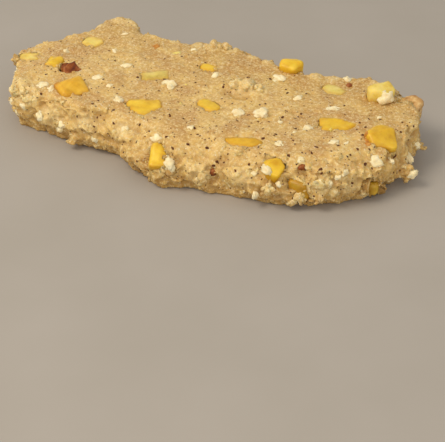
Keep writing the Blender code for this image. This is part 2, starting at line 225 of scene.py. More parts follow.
def candied_fruit(name, bright, body, deep, flour, darker_side=None):
    """Moist sugared fruit: bright and deep patches in its body colour, with some flour dusted on.

    darker_side makes a die darker amber towards one side: where that starts, which way, and how soon it is full.
    """
    material, tree, shader, mm = new_finish(name)
    pulp = add(tree, "ShaderNodeTexNoise", {"Vector": mm, "Scale": 1 / PULP_MM, "Detail": 3.0, "Roughness": 0.55})
    fibre = add(tree, "ShaderNodeTexNoise", {"Vector": mm, "Scale": 1 / FIBRE_MM, "Detail": 4.0, "Roughness": 0.6})
    flesh = add(
        tree, "ShaderNodeValToRGB", {0: pulp}, stops=((0.30, deep), (0.74, bright), (0.50, body)),
    )
    if darker_side:
        start, way, reach_mm = darker_side
        from_there = add(tree, "ShaderNodeVectorMath", {0: mm, 1: start}, operation="SUBTRACT")
        how_far = add(tree, "ShaderNodeVectorMath", {0: from_there, 1: way}, out="Value", operation="DOT_PRODUCT")
        towards_darker_side = add(tree, "ShaderNodeMapRange", {"Value": how_far, "From Max": reach_mm, "To Max": 0.85})
        flesh = add(tree, "ShaderNodeMix", {HOW_THICK: towards_darker_side, BELOW: flesh, ABOVE: linear("#a95a18")}, **COLOURS)
    # Painted shade: where a die meets the dough it is painted a deeper amber
    rim = add(tree, "ShaderNodeAttribute", {}, out="Fac", attribute_name="rim")
    shade_at_dough = add(tree, "ShaderNodeMath", {0: rim, 1: pulp}, operation="MULTIPLY")
    flesh = add(tree, "ShaderNodeMix", {HOW_THICK: shade_at_dough, BELOW: flesh, ABOVE: linear("#be7c18")}, **COLOURS)
    dusted = add(tree, "ShaderNodeMapRange", {"Value": fibre, "From Min": 0.56, "From Max": 0.74, "To Max": flour})
    flesh = add(tree, "ShaderNodeMix", {HOW_THICK: dusted, BELOW: flesh, ABOVE: linear("#e6cf8c")}, **COLOURS)
    bump = add(tree, "ShaderNodeBump", {"Height": fibre, "Strength": 0.2, "Distance": 0.00012})
    gloss = add(
        tree, "ShaderNodeMapRange", {"Value": fibre, "From Min": 0.3, "From Max": 0.7, "To Min": 0.3, "To Max": 0.55},
    )
    feed(tree, shader, {
        "Base Color": flesh, "Normal": bump, "Roughness": gloss, "IOR": 1.45,
        "Subsurface Weight": 0.4, "Subsurface Radius": (1.0, 0.75, 0.25), "Subsurface Scale": 0.0008,
    })
    return material


# Cut and soaked in syrup: clear golden faces with a satin gloss
GOLD = candied_fruit("candied_fruit_golden", bright="#efcb42", body="#e3b928", deep="#d2a018", flour=0.1)
# The same, darker and more amber along one edge, so its outline is dark on one side
DARK_EDGED = candied_fruit(
    "candied_fruit_with_a_brown_edge", bright="#e8bf3c", body="#deb126", deep="#cc981a", flour=0.15,
    darker_side=((39.9, 2.1, 8.5), (-0.80, -0.45, -0.40), 1.3),
)
# The same, turning from yellow to a darker amber across the die towards one end
DARK_ENDED = candied_fruit(
    "candied_fruit_caramelised", bright="#ecc044", body="#dfac26", deep="#cd9418", flour=0.1,
    darker_side=((-28.6, -14.6, 9.5), (-0.93, 0.2, -0.3), 2.2),
)
# Dusted with flour before it was mixed in: pale and softer to the eye
PALE = candied_fruit("candied_fruit_floury", bright="#f0da84", body="#e9ce66", deep="#d8b444", flour=0.5)
# Soaked for longer: warmer and deeper
AMBER = candied_fruit("candied_fruit_amber", bright="#e6b830", body="#daa91f", deep="#c49414", flour=0.1)
# Cut next to the rind and floured: duller, with a touch of green
OLIVE = candied_fruit("candied_fruit_peel", bright="#e5d080", body="#dac260", deep="#c0a344", flour=0.5)
# Low in the sides, where the dough shades it: a copy painted darker and less clear, as painted shade
FRUIT_IN_SHADE = candied_fruit("candied_fruit_under_dough", bright="#d8b340", body="#c39c2a", deep="#aa8218", flour=0.15)
FRUIT_FINISH = {
    "fruit_01": PALE, "fruit_02": PALE, "fruit_03": GOLD, "fruit_04": DARK_ENDED, "fruit_05": GOLD, "fruit_06": GOLD,
    "fruit_07": OLIVE, "fruit_08": GOLD, "fruit_09": GOLD, "fruit_10": OLIVE, "fruit_11": PALE, "fruit_12": GOLD,
    "fruit_13": DARK_EDGED, "fruit_14": AMBER, "fruit_15": GOLD, "fruit_16": GOLD, "fruit_17": FRUIT_IN_SHADE, "fruit_18": FRUIT_IN_SHADE,
    "fruit_19": GOLD, "fruit_20": PALE, "fruit_21": AMBER, "fruit_22": GOLD,
}
print("fruit finishes:", len(set(FRUIT_FINISH.values())), "over", len(FRUIT_FINISH), "dice")

# %% [markdown]
# ## The finishes of the nuts, the cream bits and the spice
# A roasted nut keeps a thin reddish-brown skin with fine streaks, and its broken face is tan. The cream bits are
# chalky and almost white, with a touch of yellow in their hollows. Spice specks are dark and dull. Each is a ramp
# over one noise pattern whose size is the size of the streaks, pits or grains of the real thing.

# %% Nut skin, nut flesh, cream bits, spice and orange peel
def ground_food(name, stops, pattern_mm, roughness, glow, stretch=(1.0, 1.0, 1.0)):
    """A matt food whose colours follow one noise pattern, stretched where the real one has streaks."""
    material, tree, shader, mm = new_finish(name)
    drawn = add(tree, "ShaderNodeVectorMath", {0: mm, 1: stretch}, operation="MULTIPLY")
    pattern = add(
        tree, "ShaderNodeTexNoise", {"Vector": drawn, "Scale": 1 / pattern_mm, "Detail": 4.0, "Roughness": 0.6},
    )
    colour = add(tree, "ShaderNodeValToRGB", {0: pattern}, stops=stops)
    bump = add(tree, "ShaderNodeBump", {"Height": pattern, "Strength": 0.4, "Distance": 0.0002})
    feed(tree, shader, {
        "Base Color": colour, "Normal": bump, "Roughness": roughness, "Specular IOR Level": 0.35,
        "Subsurface Weight": glow, "Subsurface Radius": (1.0, 0.9, 0.75), "Subsurface Scale": 0.0005,
    })
    return material


# The papery skin of a roasted nut, streaked along its length: reddish brown with a faint shine
NUT_SKIN = ground_food(
    "roasted_nut_skin", ((0.34, "#5e260a"), (0.74, "#c08048"), (0.52, "#904a14")),
    pattern_mm=1.3, roughness=0.45, glow=0.05, stretch=(1.0, 0.4, 1.0),
)
# The nut's broken face: tan, dry and grainy
NUT_FLESH = ground_food(
    "broken_nut_flesh", ((0.34, "#a87036"), (0.66, "#e4c68c"), (0.50, "#cca062")),
    pattern_mm=1.7, roughness=0.6, glow=0.15,
)
# Chopped blanched almond or white chocolate: chalky and almost white, with soft light in it
CREAM = ground_food(
    "cream_bits_chalky", ((0.25, "#e2c993"), (0.72, "#fbedc9"), (0.5, "#f1dfb0")),
    pattern_mm=0.8, roughness=0.7, glow=0.35,
)
# Ground spice or bran: dark, dull and dry. Its real grain is finer than a pixel, so half a millimetre stands for it.
SPICE = ground_food(
    "ground_spice", ((0.3, "#40200e"), (0.7, "#7c4a26"), (0.5, "#5c3014")),
    pattern_mm=0.5, roughness=0.85, glow=0.1,
)
# Orange peel boiled in sugar: a waxy orange brown
ORANGE = ground_food(
    "candied_orange_peel", ((0.3, "#9c5a1c"), (0.7, "#d9a24e"), (0.5, "#bd7c2a")),
    pattern_mm=0.9, roughness=0.5, glow=0.3,
)
print("finishes so far:", len(bpy.data.materials))

# %% [markdown]
# ## Fine meshes for the food
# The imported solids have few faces, as a collision model should. A voxel remesh wraps each in an even net of small
# squares, which can be pushed about point by point with noise, where a subdivision of uneven triangles would pinch.
# The net is a third of a millimetre on the dough and finer on the dice, about as small as the smallest crumb that the
# picture shows.

# %% Wrap a solid in an even net
def wrapped(node_name, voxel_mm, rounds):
    """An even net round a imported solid, smoothed a little: its points and normals in millimetres, and its faces."""
    bm = bmesh.new()
    bm.from_mesh(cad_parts[node_name].data)
    bmesh.ops.remove_doubles(bm, verts=bm.verts, dist=1e-6)
    mesh = bpy.data.meshes.new("net")
    bm.to_mesh(mesh)
    bm.free()
    holder = bpy.data.objects.new("net", mesh)
    bpy.context.scene.collection.objects.link(holder)
    net = holder.modifiers.new("net", "REMESH")
    net.mode = "VOXEL"
    net.voxel_size = voxel_mm * MM
    if rounds:
        ease = holder.modifiers.new("ease", "SMOOTH")
        ease.factor = 0.5
        ease.iterations = rounds
    bpy.context.view_layer.update()
    made = bpy.data.meshes.new_from_object(holder.evaluated_get(bpy.context.evaluated_depsgraph_get()))
    bpy.data.objects.remove(holder, do_unlink=True)
    points, normals = shape_of(made)
    faces = [tuple(face.vertices) for face in made.polygons]
    bpy.data.meshes.remove(made)
    return points, normals, faces


def shape_of(mesh):
    """The points and the normals of a mesh, in millimetres, as arrays."""
    points = np.zeros(len(mesh.vertices) * 3)
    mesh.vertices.foreach_get("co", points)
    normals = np.zeros(len(mesh.vertices) * 3)
    mesh.vertex_normals.foreach_get("vector", normals)
    return points.reshape(-1, 3) / MM, normals.reshape(-1, 3)


def make_piece(name, points, faces, material, replaced=()):
    """A smooth-shaded piece from points in millimetres, riding on the bar, with the solids that it stands for."""
    mesh = bpy.data.meshes.new(name)
    mesh.from_pydata([tuple(point) for point in np.asarray(points) * MM], [], faces)
    mesh.materials.append(material)
    mesh.polygons.foreach_set("use_smooth", [True] * len(mesh.polygons))
    mesh.update()
    piece = bpy.data.objects.new(name, mesh)
    bpy.context.scene.collection.objects.link(piece)
    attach(piece, "root")
    if replaced:
        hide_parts(*replaced)
    return piece


# %% [markdown]
# ## The dice of fruit and the nut pieces
# A die was cut with a knife and then candied, so its corners are soft, its faces sag a little and it has fine
# wrinkles. The dough grew against it in the oven, so no gap shows. Each die's net is therefore eased, swollen by the
# width of the gap that the solids leave, and pushed by a broad and a fine noise.

# %% Dice and nuts
SWELL_MM = 0.30
SAG_MM = 0.28
WRINKLE_MM = 0.05
# Dice that lie with a ridge upwards: which way the ridge runs, in degrees, and how far it stands out
RIDGES = {
    "fruit_03": (75, 0.7), "fruit_04": (100, 1.0), "fruit_09": (20, 0.5), "fruit_11": (80, 0.6),
    "fruit_13": (60, 0.9), "fruit_16": (50, 0.6), "nut_01": (75, 2.2),
}
DICE_NET_MM = 0.27
# How often a net's points are eased towards their neighbours: the candied dice are softer than the broken nuts
EASED_DICE, EASED_NUTS = 12, 6
# A broken nut's face is rougher than a candied one by this much
NUT_ROUGHER = 3.4


def ridge_at(node, at, facing_up):
    """How far a point on the top of a die stands out because of its ridge, in millimetres."""
    if node not in RIDGES or facing_up < 0.2:
        return 0.0
    turn, rise = RIDGES[node]
    low, high = (Vector(corner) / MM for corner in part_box(node))
    across = Vector((-math.sin(math.radians(turn)), math.cos(math.radians(turn)), 0.0))
    share = abs((at - (low + high) / 2).dot(across)) / (0.5 * min(high.x - low.x, high.y - low.y))
    return rise * max(-0.3, 0.45 - share) * min(1.0, (facing_up - 0.2) / 0.4)


food_trees = {}
dice = {}
made_faces = 0
for node in FRUIT_NODES + NUT_NODES:
    is_fruit = node in FRUIT_FINISH
    points, normals, faces = wrapped(node, DICE_NET_MM, EASED_DICE if is_fruit else EASED_NUTS)
    # Each die takes its own part of the noise, so that no two sag alike
    shift = Vector((float(len(node) * 3), 17.0 * (int(node[-2:]) + (0 if is_fruit else 40)), 5.0))
    moved = []
    for point, normal in zip(points, normals):
        at = Vector(point)
        broad = noise.noise(at / 3.0 + shift)
        fine = noise.fractal(at / 0.9 + shift, 0.8, 2.0, 3)
        roughness = WRINKLE_MM if is_fruit else NUT_ROUGHER * WRINKLE_MM
        swelling = SWELL_MM * (1 - max(0.0, normal[2]))
        place = at + Vector(normal) * (swelling + SAG_MM * broad + roughness * fine)
        place.z += ridge_at(node, at, normal[2])
        moved.append(place)
    finish = FRUIT_FINISH[node] if is_fruit else (NUT_SKIN if node == "nut_01" else NUT_FLESH)
    label = ("candied_" if is_fruit else "roasted_") + node
    dice[node] = make_piece(label, moved, faces, finish, [node])
    food_trees[node] = BVHTree.FromPolygons(moved, faces)
    made_faces += len(faces)
print("faces on dice and nuts:", made_faces)

# %% [markdown]
# ## The dough
# Where a knife or a hand broke the slab, the dough parts between its crumbs, so the sides are lumps from 3 mm down to
# half a millimetre with crests and darker creases between them. The pressed top is almost flat, with shallow pits and
# fine grain. Cell noise gives packed lumps with creases, folded noise gives sharp crests, and ordinary noise gives
# the wander of the whole. How much of each a point gets depends on which way the wrapped solid faces there: up means
# pressed, sideways means broken.

# %% How far the surface stands out
# The sizes of the crumbs on a broken side, each with how far such a crumb stands out
CRUMB_SIZES_MM = ((5.0, 1.15), (2.4, 0.5), (1.15, 0.2))
# How far the crumbs wander and are set back, and how deep the tears, the crests and the grit go
WANDER_MM, SET_BACK_MM, TEAR_MM, CREST_MM, GRIT_MM = 1.1, 1.05, 1.4, 0.9, 0.16
# The same for the grain, the waves, the broad sway and the pits of the pressed top
GRAIN_DEEP_MM, WAVE_MM, SWAY_MM, PIT_MM = 0.13, 0.26, 0.35, 0.9


def packed_crumbs(at, size, seed):
    """Rounded crumbs of one size, packed together: from 0 in a crease to about 1 on top of a crumb."""
    distances, centres = noise.voronoi(at / size + seed)
    crease = min(1.0, (distances[1] - distances[0]) / 0.65)
    crease = crease * crease * (3 - 2 * crease)
    return crease * (0.6 + 0.5 * noise.noise(centres[0] * 3.7))


def broken_relief(at):
    """The relief of a broken side, in millimetres."""
    bent = at + WANDER_MM * noise.noise_vector(at / 2.2)
    height = -SET_BACK_MM
    for (size, share), seed in zip(CRUMB_SIZES_MM, (Vector((3, 1, 4)), Vector((1, 5, 9)), Vector((2, 6, 5)))):
        height += share * packed_crumbs(bent, size, seed)
    torn = noise.noise(at / 3.6 + Vector((8, 3, 1)))
    crag = 0.35 - abs(noise.noise(at / 1.9 + Vector((6, 2, 7))))
    grit = noise.fractal(at / 0.8, 0.7, 2.0, 2)
    return height - TEAR_MM * max(0.0, torn - 0.15) + CREST_MM * crag + GRIT_MM * grit


def pressed_relief(at):
    """The relief of the pressed top, in millimetres: fine grain, shallow waves and a few pits."""
    grain = GRAIN_DEEP_MM * noise.fractal(at / 0.95, 0.6, 2.0, 3)
    wave = WAVE_MM * noise.noise(at / 3.6 + Vector((4, 4, 2)))
    pit = noise.noise(at / 1.6 + Vector((7, 1, 3)))
    sway = SWAY_MM * noise.noise(at / 8.0 + Vector((5, 9, 3)))
    return grain + wave + sway - PIT_MM * max(0.0, pit - 0.3)


# Clumps that stand out along the rim and on the top, and hollows beside them: x, y, z, how wide, how far out
CLUMPS = [
    (5.6, 5.6, 11.0, 3.0, 1.5), (9.2, 6.6, 11.0, 2.6, 1.1), (6.6, 2.9, 11.0, 2.6, -0.9),
    (3.0, 2.8, 11.0, 2.2, -0.35), (-10.6, 19.4, 11.2, 2.4, 1.3), (-7.0, 21.2, 10.8, 2.4, 1.1),
    (-14.4, 18.2, 11.0, 1.8, 0.7), (0.2, 20.8, 10.6, 2.0, 1.0), (4.6, 19.4, 10.8, 1.6, 0.8),
    (-21.0, 18.4, 10.6, 1.9, 0.8), (-35.6, 20.4, 10.8, 2.2, 0.8), (-38.6, 19.4, 10.8, 1.6, 0.8),
    (-40.2, -19.6, 9.6, 3.4, 1.2), (-36.0, -20.6, 10.2, 2.6, 1.0), (17.4, 19.4, 10.8, 1.8, 0.8),
    (21.6, 20.8, 10.6, 1.7, 0.7), (31.0, 22.4, 10.8, 2.0, 0.8), (-29.8, -21.4, 6.0, 3.6, 1.2),
    (-20.0, -21.6, 7.6, 3.2, 1.1), (-10.4, -20.6, 8.4, 2.8, 1.0), (-44.6, 8.0, 10.4, 1.8, 0.7),
    (-41.8, 15.0, 10.6, 1.7, 0.7), (45.4, 12.0, 10.0, 1.8, 0.7), (33.6, -16.2, 5.2, 2.0, 1.0),
    (37.0, -14.0, 6.2, 2.6, 1.1), (41.8, -10.0, 5.0, 2.8, 1.0), (20.6, -20.0, 6.0, 3.0, 1.0),
    (11.0, -22.6, 5.0, 3.0, 1.0), (29.8, -18.8, 4.8, 3.8, -2.2),
]


def clumped(at):
    """How deep inside a clump and inside a hollow a point lies, from 0 to 1, and how far that pushes it out."""
    raised, painted_hollow_shade, push = 0.0, 0.0, 0.0
    for x, y, z, wide_mm, proud in CLUMPS:
        share = ((at.x - x) ** 2 + (at.y - y) ** 2 + (at.z - z) ** 2) / wide_mm**2
        if share < 1:
            depth = (1 - share) ** 0.7
            crumbs = 0.25 + 0.75 * packed_crumbs(at, 1.5, Vector((9, 2, 6)))
            push += proud * depth * (crumbs if proud > 0 else 1.0)
            if proud > 0:
                raised = max(raised, depth)
            else:
                painted_hollow_shade = max(painted_hollow_shade, depth)
    return raised, painted_hollow_shade, push


DOUGH_NET_MM = 0.35
points, normals, faces = wrapped("dough_bar", DOUGH_NET_MM, 1)
print("points on the dough:", len(points), "faces:", len(faces))

# %% [markdown]
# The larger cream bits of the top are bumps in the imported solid. Each gets a piece of its own further down, in its
# own finish, so the dough has to be level there.

# %% Where the larger cream bits lie on the top
# x, y, half sizes, and how far they stand out
CREAM_ON_TOP = [
    (-26.2, -6.9, 1.5, 1.1, 0.3), (-21.4, -8.9, 1.1, 0.8, 0.2), (-21.6, -13.3, 1.9, 0.8, 0.1),
    (-16.2, -13.1, 0.9, 1.1, 0.5), (-30.1, 5.7, 0.9, 0.8, 0.3), (-40.4, -0.5, 0.9, 0.8, 0.3),
    (-9.8, -1.1, 1.4, 1.5, 0.9), (-23.8, 1.1, 2.0, 1.2, 0.1), (-35.2, -16.5, 1.7, 1.3, 0.3),
    (-32.4, -16.8, 1.1, 1.0, 0.3), (10.2, -4.3, 1.2, 1.4, 1.0), (15.0, -2.3, 1.6, 1.5, 1.2),
    (4.3, -14.7, 0.8, 0.8, 0.3), (10.6, 14.5, 1.9, 1.3, 0.5), (-3.2, 8.3, 1.4, 0.9, 0.4),
    (24.6, -10.7, 1.6, 1.1, 0.15), (26.6, -1.9, 0.9, 1.1, 0.5), (36.6, -3.1, 0.9, 0.8, 0.2),
    (38.4, 10.7, 1.2, 0.8, 0.2), (18.6, 8.5, 1.3, 0.9, 0.3), (-32.8, 14.5, 1.3, 0.9, 0.2),
    (-13.8, 15.5, 1.2, 0.9, 0.2),
]
print("larger cream bits on the top:", len(CREAM_ON_TOP))

# %% [markdown]
# ## Where the dough meets the dice
# Dough rises round a die in the oven, so it lies against it without a gap and creeps over its edge here and there.
# Cutting a socket would leave a hard outline, so each point of the dough near a die is drawn to the die's surface
# instead, and where the noise is eager it goes on some way over the top as a thin film.

# %% How the dough meets the dice
UNDERSIDE_MM = 0.05
TOP_MM = 11.0
# Dough this near a die is drawn against it
CLING_MM = 1.3
# How far it creeps over the die's edge, how thin it lies there, and how high it stands beside the die
CREEP_MM = 1.5
FILM_MM = 0.08
BEAD_MM = 0.3
all_food = list(food_trees.values())
food_middle = {node: Vector(sum(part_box(node), Vector())) / 2 / MM for node in food_trees}

# Where the dough has closed over the corner of a die: x, y and how far round that
COVERS = [(14.0, -15.8, 3.2), (-4.4, -13.4, 3.6), (-26.0, -17.2, 2.6), (39.0, 3.6, 1.8)]
# Dice whose outline shows whole, so no dough creeps over them
STILL_NODES = ("fruit_10", "fruit_14", "fruit_16", "fruit_17", "fruit_18", "nut_01")
# Dice in the sides, which the dough holds all round
HELD_NODES = ("fruit_19", "fruit_20", "fruit_21", "fruit_22")
EAGER_ROUND_HELD, EAGER_ELSEWHERE = 0.42, 0.08


def bedded(place, wide):
    """Draw a point near a die against it, and in places some way over its edge."""
    for node, tree in food_trees.items():
        found, facing, _, gap = tree.find_nearest(place, CLING_MM)
        if found is None:
            continue
        pull = min(1.0, 1.9 * (1 - gap / CLING_MM))
        bead = Vector((0.0, 0.0, BEAD_MM * pull * max(0.0, wide.z)))
        eager = EAGER_ROUND_HELD if node in HELD_NODES else EAGER_ELSEWHERE
        creep = CREEP_MM * pull * (noise.noise(place / 2.1 + Vector((2, 8, 5))) + eager)
        for x, y, reach in COVERS:
            creep = max(creep, 1.9 * pull * (1 - math.hypot(place.x - x, place.y - y) / reach))
        if creep > 0.05 and node not in STILL_NODES:
            inward = food_middle[node] - found
            inward -= wide * inward.dot(wide)
            found, facing, _, _ = tree.find_nearest(found + inward.normalized() * creep + wide * 0.4)
            return place.lerp(found + facing * FILM_MM, pull)
        return place.lerp(found - facing * 0.06 + bead, pull)
    return place


print("dice that the dough may creep over:", len(food_trees) - len(STILL_NODES))

# %% [markdown]
# ## The dough's relief
# The direction that decides between pressed and broken comes from a smoother copy of the net, so one small bump
# doesn't switch the relief on and off. The underside keeps shallow dents only, so that the bar rests on it. Each
# point also keeps how deep it lies in a crease, a hollow or a dent, and how freshly torn it is. The finish reads
# both, and paints the first as shade.

# %% Push the dough's points about
def eased_normals(points, normals, faces, rounds):
    """Normals averaged over the faces round each point, several times over."""
    quads = np.array([face for face in faces if len(face) == 4])
    eased = normals.copy()
    for _ in range(rounds):
        middle = eased[quads].mean(axis=1)
        total = np.zeros_like(eased)
        for corner in range(4):
            np.add.at(total, quads[:, corner], middle)
        eased = total / np.maximum(np.linalg.norm(total, axis=1, keepdims=True), 1e-9)
    return eased


CALMING_ROUNDS = 14
# A net's normal points straight up at 1. Below this the top begins to turn over, and this much further it is a side.
STILL_FLAT, TURNED_BY = 0.985, 0.2
calm = eased_normals(points, normals, faces, CALMING_ROUNDS)
moved, sideways, painted_crease_shade, torn = [], [], [], []
for point, normal, wide in zip(points, normals, calm):
    at, normal, wide = Vector(point), Vector(normal), Vector(wide)
    if at.z < UNDERSIDE_MM:
        dent = 0.35 * max(0.0, noise.noise(at / 2.4) + 0.1) + 0.1 * max(0.0, noise.noise(at / 0.9))
        edge = min(1.0, max(0.0, (-wide.z - 0.9) / 0.09))
        outward = Vector((wide.x, wide.y, 0.0))
        if outward.length > 0.05:
            at += outward.normalized() * broken_relief(at) * (1 - edge)
        moved.append(Vector((at.x, at.y, dent * edge)))
        sideways.append(0.0)
        # Painted shade in the dents of the underside
        painted_crease_shade.append(0.4 * min(1.0, 3 * dent))
        torn.append(0.0)
        continue
    if at.z > TOP_MM + 0.1 and any(
        ((at.x - x) / (a + 0.5)) ** 2 + ((at.y - y) / (b + 0.5)) ** 2 < 1 for x, y, a, b, _ in CREAM_ON_TOP
    ):
        at.z = TOP_MM + 0.1
    broken = min(1.0, max(0.0, (STILL_FLAT - wide.z) / TURNED_BY))
    lifted = min(1.0, max(0.0, at.z / 0.7))
    rough = broken_relief(at)
    height = broken * rough + (1 - broken) * pressed_relief(at)
    raised, painted_hollow_shade, push = clumped(at)
    shift = normal * height + wide * push
    shift.z *= lifted
    place = bedded(at + shift, wide)
    place.z = max(place.z, 0.0)
    moved.append(place)
    sideways.append(broken)
    # Painted shade: a point deep in a crease between crumbs, or in a hollow, is painted darker by the finish
    painted_crease_shade.append(max(0.7 * painted_hollow_shade, broken * min(1.0, max(0.0, (-0.4 - rough) / 0.8))))
    torn.append(raised)
dough_points, dough_faces = moved, faces
dough = make_piece("dough_crumb", dough_points, dough_faces, DOUGH, ["dough_bar"])
dough.data.attributes.new("crease", "FLOAT", "POINT").data.foreach_set("value", painted_crease_shade)
dough.data.attributes.new("torn", "FLOAT", "POINT").data.foreach_set("value", torn)
dough_tree = BVHTree.FromPolygons(dough_points, dough_faces)
print("share of the points on broken sides:", round(sum(s > 0.5 for s in sideways) / len(sideways), 2))

# %% [markdown]
# Most dice get a narrow rim of deeper amber where they touch the dough, painted shade at the join. Each point of a
# die remembers how near the dough it lies, and the fruit's finish reads that.

# %% Mark the rim of each die
RIM_MM = 0.9
for node, piece in dice.items():
    gaps = [dough_tree.find_nearest(vert.co / MM, RIM_MM)[3] for vert in piece.data.vertices]
    rim = [0.0 if gap is None else 1 - gap / RIM_MM for gap in gaps]
    piece.data.attributes.new("rim", "FLOAT", "POINT").data.foreach_set("value", rim)
print("share of the last one's points near the dough:", round(sum(value > 0 for value in rim) / len(rim), 2))

# %% [markdown]
# The underside is nearly flat, so it needs far fewer faces than the sides. A Decimate modifier that is held to a
# group of points thins it alone.

# %% Thin the net under the bar
SHARE_OF_FACES_KEPT = 0.62
under = dough.vertex_groups.new(name="underside")
under.add([index for index, point in enumerate(points) if point[2] < UNDERSIDE_MM], 1.0, "REPLACE")
thin = dough.modifiers.new("thin", "DECIMATE")
thin.ratio = SHARE_OF_FACES_KEPT
thin.vertex_group = "underside"
bpy.context.view_layer.update()
thinned = bpy.data.meshes.new_from_object(dough.evaluated_get(bpy.context.evaluated_depsgraph_get()))
dough.modifiers.remove(thin)
dough.data = thinned
print("triangles on the dough:", sum(len(face.vertices) - 2 for face in thinned.polygons))

# %% [markdown]
# ## Bits of one kind in one mesh
# Hundreds of specks and crumbs as separate objects would be slow to handle, and particles would be lost on export, so
# each kind is one mesh of many small closed forms. A bit starts as a ball of triangles. Noise makes it uneven, and
# a few flat cuts give it the broken faces of a chopped thing.

# %% Make one bit
def ball(fineness):
    """The points and triangles of a ball of radius 1."""
    bm = bmesh.new()
    bmesh.ops.create_icosphere(bm, subdivisions=fineness, radius=1.0)
    bm.verts.index_update()
    made = [vert.co.copy() for vert in bm.verts], [tuple(vert.index for vert in face.verts) for face in bm.faces]
    bm.free()
    return made


BALLS = {fineness: ball(fineness) for fineness in (2, 3)}


def one_bit(place, half, up, draw, fineness, unevenness, cuts):
    """An uneven bit at a place, with its short side along up: its points, in millimetres, and its triangles."""
    ball_points, triangles = BALLS[fineness]
    shift = Vector(draw.uniform(0, 90) for _ in range(3))
    planes = [(random_direction(draw), draw.uniform(0.62, 0.9)) for _ in range(cuts)]
    turn = up.to_track_quat("Z", "Y").to_matrix() @ Matrix.Rotation(draw.uniform(0, math.tau), 3, "Z")
    made = []
    for point in ball_points:
        uneven = point * (1 + unevenness * noise.noise(point * 1.4 + shift))
        uneven *= 1 + 0.4 * unevenness * noise.noise(point * 4.5 + shift)
        for direction, reach in planes:
            beyond = uneven.dot(direction) - reach
            if beyond > 0:
                uneven -= direction * beyond
        spot = place + turn @ Vector(value * size for value, size in zip(uneven, half))
        spot.z = max(spot.z, 0.0)
        made.append(spot)
    return made, triangles


def random_direction(draw):
    """A direction drawn evenly from all directions."""
    rise = draw.uniform(-1, 1)
    turn = draw.uniform(0, math.tau)
    level = math.sqrt(1 - rise * rise)
    return Vector((level * math.cos(turn), level * math.sin(turn), rise))


def scatter(name, rows, material, seed, fineness=2, unevenness=0.5, cuts=0):
    """One mesh of many bits. Each row is a place, the bit's half sizes, and which way is up there."""
    draw = random.Random(seed)
    all_points, all_faces = [], []
    for place, half, up in rows:
        made, triangles = one_bit(Vector(place), half, up, draw, fineness, unevenness, cuts)
        start = len(all_points)
        all_points += made
        all_faces += [tuple(start + index for index in triangle) for triangle in triangles]
    print(name, "has", len(rows), "bits and", len(all_faces), "triangles")
    return make_piece(name, all_points, all_faces, material)


# %% [markdown]
# ## Where the bits lie
# A bit lies in the surface, not above it. Those that stand out in the picture have a place of their own, which is
# drawn to the nearest point of the dough or the fruit. The rest are drawn at random over the faces, each face as
# likely as its area, and kept off the dice.

# %% Find places on the surface
def on_surface(x, y, z, sunk, trees=None):
    """The nearest place on the surface, sunk below it by so many millimetres, and which way is out there."""
    best = None
    for tree in trees or [dough_tree, *all_food]:
        found, facing, _, gap = tree.find_nearest(Vector((x, y, z)))
        if best is None or gap < best[2]:
            best = (found, facing, gap)
    return best[0] - best[1] * sunk, best[1]


face_index = np.array([face for face in dough_faces if len(face) == 4])
corners = np.array([tuple(point) for point in dough_points])
face_middle = corners[face_index].mean(axis=1)
diagonals = [corners[face_index[:, end]] - corners[face_index[:, end - 2]] for end in (2, 3)]
face_normal = np.cross(*diagonals)
face_area = np.linalg.norm(face_normal, axis=1) / 2
face_normal /= np.maximum(2 * face_area[:, None], 1e-9)
face_broken = np.array(sideways)[face_index].mean(axis=1)


def drawn_places(count, weight, seed, clear_mm):
    """Places drawn over the dough's faces by a weight for each face, off the dice, with which way is out there."""
    odds = face_area * weight * (face_middle[:, 2] > 0.4)
    chosen = np.random.default_rng(seed).choice(len(odds), size=2 * count, p=odds / odds.sum(), replace=False)
    places = []
    for index in chosen:
        place = Vector(face_middle[index])
        if all(tree.find_nearest(place, clear_mm)[0] is None for tree in all_food):
            places.append((place, Vector(face_normal[index])))
    return places[:count]


print("area of the dough's surface:", round(face_area.sum() / 100, 1), "square cm")

# %% [markdown]
# ## Cream-coloured bits
# They look like chopped blanched almond or white chocolate: chalky, broken, 2 to 4 mm across, half sunk in the dough.
# The solids carry the larger ones on the top as bumps, and each bit here takes the place of its bump. More of them
# show in the broken sides, where they stand out further.

# %% Cream bits
# x, y, z and the half sizes of each
CREAM_ELSEWHERE = [
    (4.2, -23.2, 6.2, 2.1, 1.8, 1.6), (-1.5, -20.8, 9.7, 1.6, 1.0, 0.8), (-9.7, -20.4, 8.9, 1.1, 0.9, 0.8),
    (-33.0, -21.0, 5.3, 1.5, 1.4, 1.0), (-27.8, -20.9, 3.0, 1.2, 1.2, 0.8), (26.0, -19.0, 9.2, 1.5, 1.1, 1.0),
    (36.5, 17.1, 12.2, 2.0, 1.8, 1.5), (43.9, -2.8, 8.3, 1.7, 1.4, 1.1), (46.9, 0.6, 7.8, 1.4, 0.8, 0.6),
    (47.9, 7.6, 5.3, 1.7, 0.9, 0.6), (51.0, 3.6, 2.6, 1.4, 1.3, 0.9), (38.2, -13.0, 6.2, 0.9, 0.8, 0.6),
    (39.8, -12.0, 7.8, 0.8, 0.7, 0.6), (24.1, 22.0, 11.2, 1.2, 1.0, 0.8), (2.2, 7.2, 10.9, 1.1, 0.9, 0.6),
    (27.4, 8.8, 11.0, 1.8, 1.0, 0.5), (34.4, -4.2, 11.0, 1.3, 0.9, 0.5), (20.4, -3.0, 11.0, 0.7, 0.6, 0.4),
]
CREAM_AT_RANDOM = 34
bit_draw = random.Random(17)


